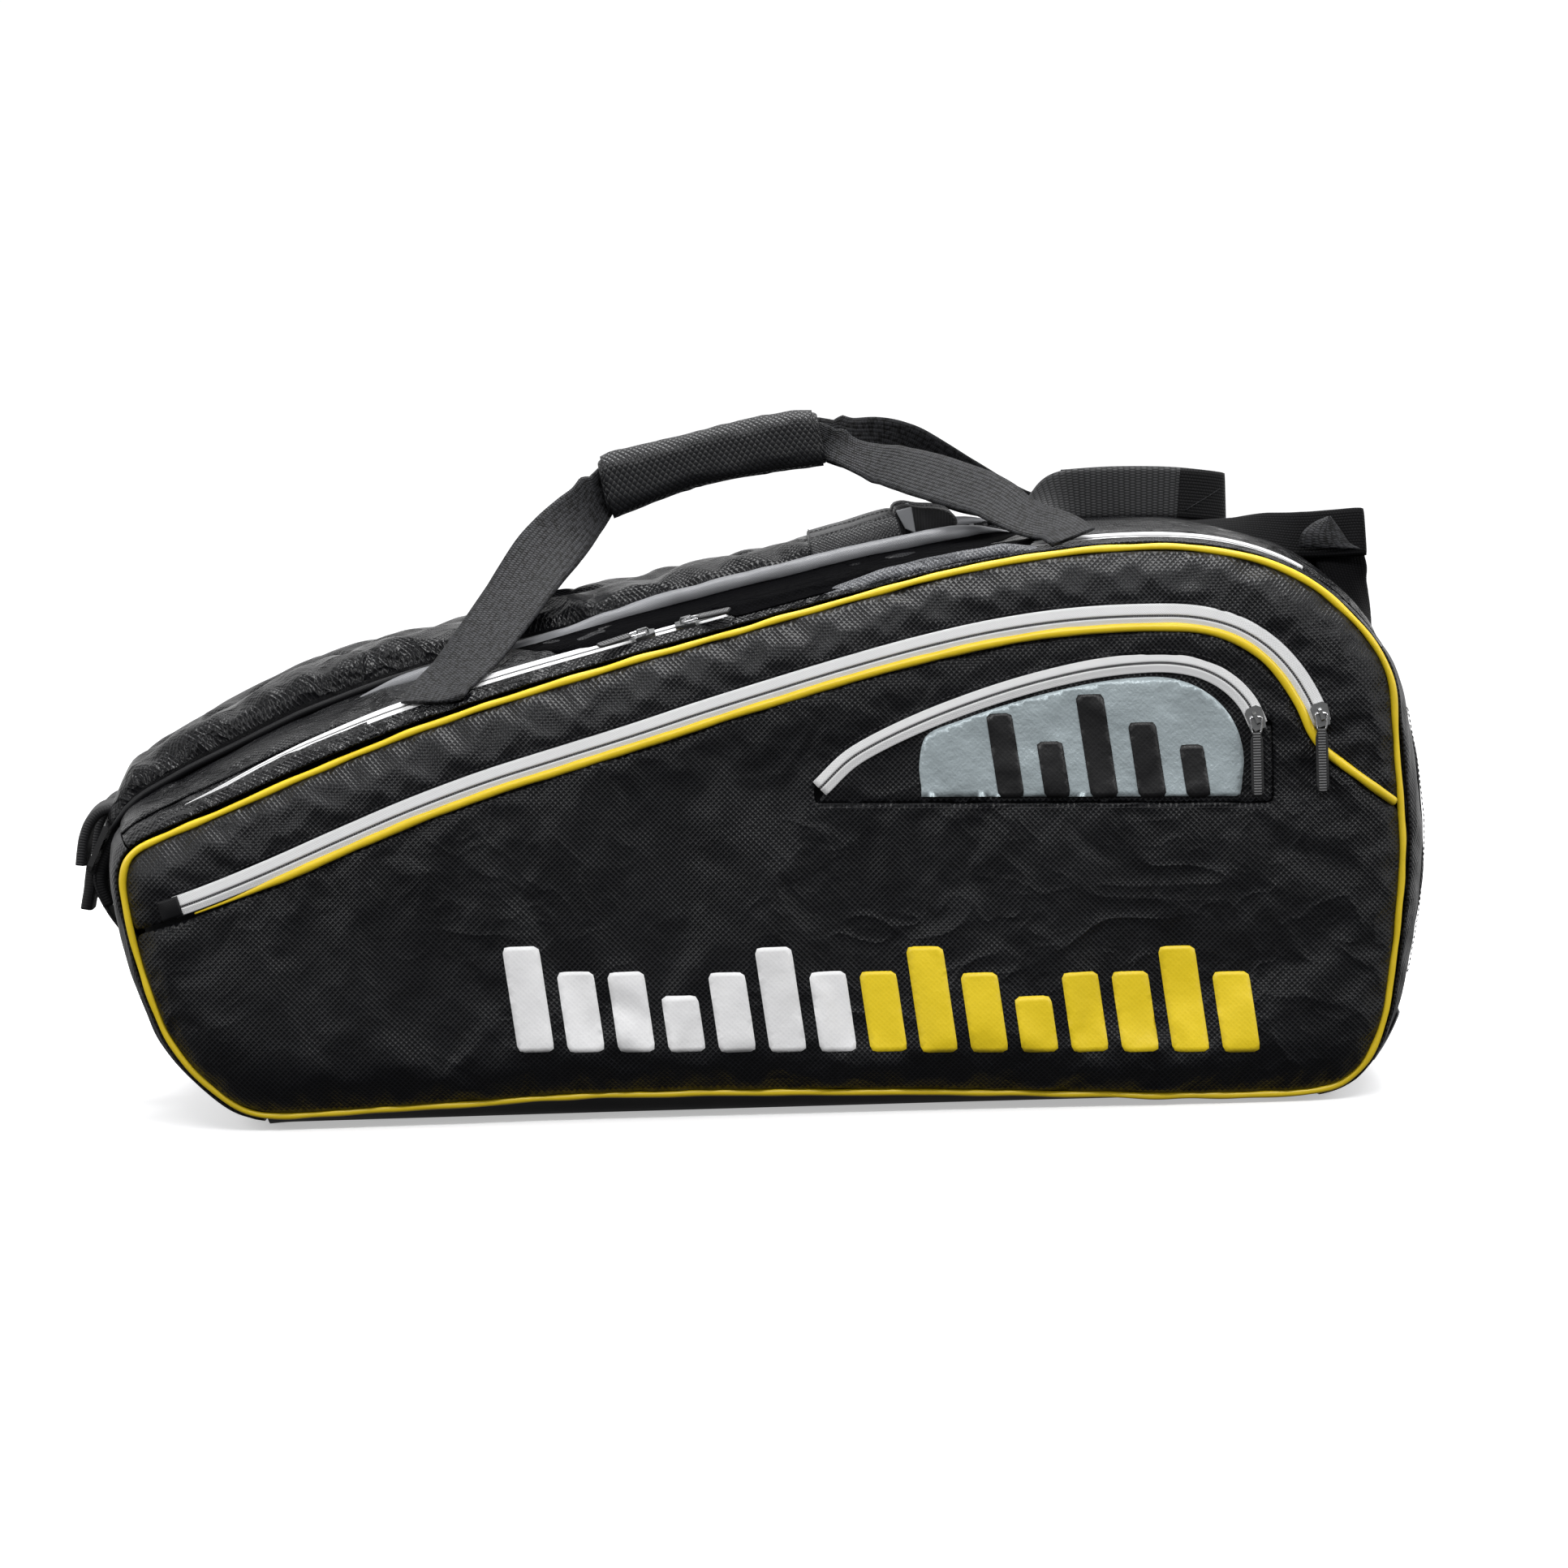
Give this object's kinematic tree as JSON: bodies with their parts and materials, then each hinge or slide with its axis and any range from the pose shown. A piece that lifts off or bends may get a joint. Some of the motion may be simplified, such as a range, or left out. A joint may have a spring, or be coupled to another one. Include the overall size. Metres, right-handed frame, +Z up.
{
  "type": "racket tournament bag",
  "caption": "Tapered padded racket holdall with divided main compartments, zipped pockets, carry handle and shoulder straps.",
  "frame": {"origin": "centre of the footprint, on the surface the bag stands on", "axes": "+X towards the wide head end, -Y out of the printed front panel, +Z up"},
  "size_m": [0.7558, 0.2958, 0.3833],
  "materials": {
    "shell_ripstop": "black coated diamond ripstop nylon, satin",
    "gusset_fabric": "black padded nylon, satin",
    "lining_grey": "dark grey lining over foam",
    "piping_yellow": "yellow vinyl piping, semi-gloss",
    "zip_tape": "white woven tape with nylon coil",
    "silver_film": "silver-grey satin film",
    "webbing_black": "ribbed polypropylene webbing",
    "strap_padding": "foam strap in black nylon and spacer mesh",
    "slider_metal": "dark nickel plated die-cast zip slider",
    "puller_rubber": "moulded puller with plated end ring",
    "buckle_plastic": "black acetal",
    "reflective_film": "silver reflective tape",
    "grip_fabric": "padded honeycomb textile wrap"
  },
  "bodies": {
    "root": {"front_panel_upper": "shell_ripstop", "front_panel_lower": "shell_ripstop", "rear_panel": "shell_ripstop", "piping_front": "piping_yellow", "piping_rear": "piping_yellow", "piping_arch": "piping_yellow", "arch_zip": "zip_tape", "top_gusset_front_outer": "gusset_fabric", "top_zip_front": "zip_tape", "top_gusset_front_inner": "gusset_fabric", "top_gusset_rear_outer": "gusset_fabric", "top_zip_rear": "zip_tape", "top_gusset_rear_inner": "gusset_fabric", "spine_panel": "gusset_fabric", "wide_end_panel": "gusset_fabric", "narrow_end_panel": "gusset_fabric", "base_panel": "gusset_fabric", "divider_front": "lining_grey", "divider_rear": "lining_grey", "front_pocket_back": "lining_grey", "accessory_pocket_back": "lining_grey", "accessory_zip": "zip_tape", "end_pocket_panel": "shell_ripstop", "end_zip": "zip_tape", "end_pocket_edge": "shell_ripstop", "reflective_tab": "reflective_film", "handle_strap_front": "webbing_black", "handle_strap_rear": "webbing_black", "lower_webbing_front": "webbing_black", "lower_webbing_rear": "webbing_black", "upper_webbing_rear": "webbing_black", "upper_webbing_front": "webbing_black"},
    "arch_slider": {"arch_slider": "slider_metal"},
    "arch_puller": {"arch_puller": "puller_rubber"},
    "accessory_slider": {"accessory_slider": "slider_metal"},
    "accessory_puller": {"accessory_puller": "puller_rubber"},
    "top_front_a_slider": {"top_front_a_slider": "slider_metal"},
    "top_front_a_puller": {"top_front_a_puller": "puller_rubber"},
    "top_front_b_slider": {"top_front_b_slider": "slider_metal"},
    "top_front_b_puller": {"top_front_b_puller": "puller_rubber"},
    "top_rear_a_slider": {"top_rear_a_slider": "slider_metal"},
    "top_rear_a_puller": {"top_rear_a_puller": "puller_rubber"},
    "top_rear_b_slider": {"top_rear_b_slider": "slider_metal"},
    "top_rear_b_puller": {"top_rear_b_puller": "puller_rubber"},
    "end_slider": {"end_slider": "slider_metal"},
    "end_puller": {"end_puller": "puller_rubber"},
    "accessory_flap": {"accessory_flap": "shell_ripstop", "accessory_patch": "silver_film"},
    "handle": {"handle_grip": "grip_fabric"},
    "grip_flap": {"handle_grip_flap": "grip_fabric"},
    "strap_front": {"shoulder_strap_front": "strap_padding", "strap_end_tab_front": "strap_padding"},
    "lock_front": {"ladder_lock_front": "buckle_plastic", "webbing_tail_front": "webbing_black"},
    "slide_front": {"webbing_slide_front": "buckle_plastic"},
    "strap_rear": {"shoulder_strap_rear": "strap_padding", "strap_end_tab_rear": "strap_padding"},
    "lock_rear": {"ladder_lock_rear": "buckle_plastic", "webbing_tail_rear": "webbing_black"},
    "slide_rear": {"webbing_slide_rear": "buckle_plastic"}
  },
  "joints": [
    {"name": "arch_slider_travel", "type": "hinge", "parent": "root", "child": "arch_slider", "pos_m": [0.23098, -0.14295, 0.19025], "axis": [0, -1, 0], "range_deg": [0, 66]},
    {"name": "arch_puller_swing", "type": "hinge", "parent": "arch_slider", "child": "arch_puller", "pos_m": [0.30917, -0.14595, 0.2135], "axis": [-1, 0, 0], "range_deg": [0, 100]},
    {"name": "accessory_slider_travel", "type": "hinge", "parent": "root", "child": "accessory_slider", "pos_m": [0.22244, -0.14295, 0.18532], "axis": [0, -1, 0], "range_deg": [0, 72]},
    {"name": "accessory_puller_swing", "type": "hinge", "parent": "accessory_slider", "child": "accessory_puller", "pos_m": [0.27397, -0.14595, 0.2125], "axis": [-1, 0, 0], "range_deg": [0, 100]},
    {"name": "top_front_a_slider_travel", "type": "hinge", "parent": "root", "child": "top_front_a_slider", "pos_m": [0.14578, -0.11015, -0.79455], "axis": [0, -1, 0], "range_deg": [0, 12.9]},
    {"name": "top_front_a_puller_swing", "type": "hinge", "parent": "top_front_a_slider", "child": "top_front_a_puller", "pos_m": [-0.057, -0.11106, 0.26721], "axis": [-0.4454, 0.877, 0.1804], "range_deg": [0, 130]},
    {"name": "top_front_b_slider_travel", "type": "hinge", "parent": "root", "child": "top_front_b_slider", "pos_m": [0.3291, -0.11015, -1.01797], "axis": [0, 1, 0], "range_deg": [0, 8.4]},
    {"name": "top_front_b_puller_swing", "type": "hinge", "parent": "top_front_b_slider", "child": "top_front_b_puller", "pos_m": [-0.033, -0.11104, 0.27303], "axis": [-0.3375, -0.8702, -0.3591], "range_deg": [0, 130]},
    {"name": "top_rear_a_slider_travel", "type": "hinge", "parent": "root", "child": "top_rear_a_slider", "pos_m": [0.14896, 0.11585, -0.80677], "axis": [0, -1, 0], "range_deg": [0, 12.8]},
    {"name": "top_rear_a_puller_swing", "type": "hinge", "parent": "top_rear_a_slider", "child": "top_rear_a_puller", "pos_m": [-0.057, 0.11676, 0.26721], "axis": [0.4454, 0.877, -0.1804], "range_deg": [0, 130]},
    {"name": "top_rear_b_slider_travel", "type": "hinge", "parent": "root", "child": "top_rear_b_slider", "pos_m": [0.33317, 0.11585, -1.03877], "axis": [0, 1, 0], "range_deg": [0, 8.3]},
    {"name": "top_rear_b_puller_swing", "type": "hinge", "parent": "top_rear_b_slider", "child": "top_rear_b_puller", "pos_m": [-0.033, 0.11674, 0.27303], "axis": [0.3375, -0.8702, 0.3591], "range_deg": [0, 130]},
    {"name": "end_slider_travel", "type": "hinge", "parent": "root", "child": "end_slider", "pos_m": [0.10838, 0.00285, 0.14262], "axis": [0, 1, 0], "range_deg": [0, 25.1]},
    {"name": "end_puller_swing", "type": "hinge", "parent": "end_slider", "child": "end_puller", "pos_m": [0.37131, 0.00285, 0.20268], "axis": [0, -1, 0], "range_deg": [0, 100]},
    {"name": "accessory_flap_fold", "type": "hinge", "parent": "root", "child": "accessory_flap", "pos_m": [0.15847, -0.14235, 0.1698], "axis": [0.9996, 0, -0.0281], "range_deg": [0, 110]},
    {"name": "handle_flop", "type": "hinge", "parent": "root", "child": "handle", "pos_m": [0.00547, 0.00285, 0.267], "axis": [0.9743, 0, 0.2251], "range_deg": [-55, 55], "deforming": ["handle_strap_front", "handle_strap_rear"]},
    {"name": "grip_flap_open", "type": "hinge", "parent": "handle", "child": "grip_flap", "pos_m": [-0.02035, -0.00168, 0.37066], "axis": [-0.9818, 0, -0.19], "range_deg": [0, 100]},
    {"name": "strap_front_lift", "type": "hinge", "parent": "root", "child": "strap_front", "pos_m": [0.11697, -0.02815, 0.3085], "axis": [0, 1, 0], "range_deg": [0, 5], "deforming": ["lower_webbing_front"]},
    {"name": "lock_front_tilt", "type": "hinge", "parent": "strap_front", "child": "lock_front", "pos_m": [-0.36207, -0.02815, 0.16379], "axis": [0, 1, 0], "range_deg": [0, 35]},
    {"name": "slide_front_adjust", "type": "slide", "parent": "root", "child": "slide_front", "axis": [0.9874, 0, 0.158], "range_m": [0, 0.01]},
    {"name": "strap_rear_lift", "type": "hinge", "parent": "root", "child": "strap_rear", "pos_m": [0.11697, 0.03385, 0.3085], "axis": [0, 1, 0], "range_deg": [0, 5], "deforming": ["lower_webbing_rear"]},
    {"name": "lock_rear_tilt", "type": "hinge", "parent": "strap_rear", "child": "lock_rear", "pos_m": [-0.36207, 0.03385, 0.16379], "axis": [0, 1, 0], "range_deg": [0, 35]},
    {"name": "slide_rear_adjust", "type": "slide", "parent": "root", "child": "slide_rear", "axis": [0.9874, 0, 0.158], "range_m": [0, 0.01]}
  ]
}
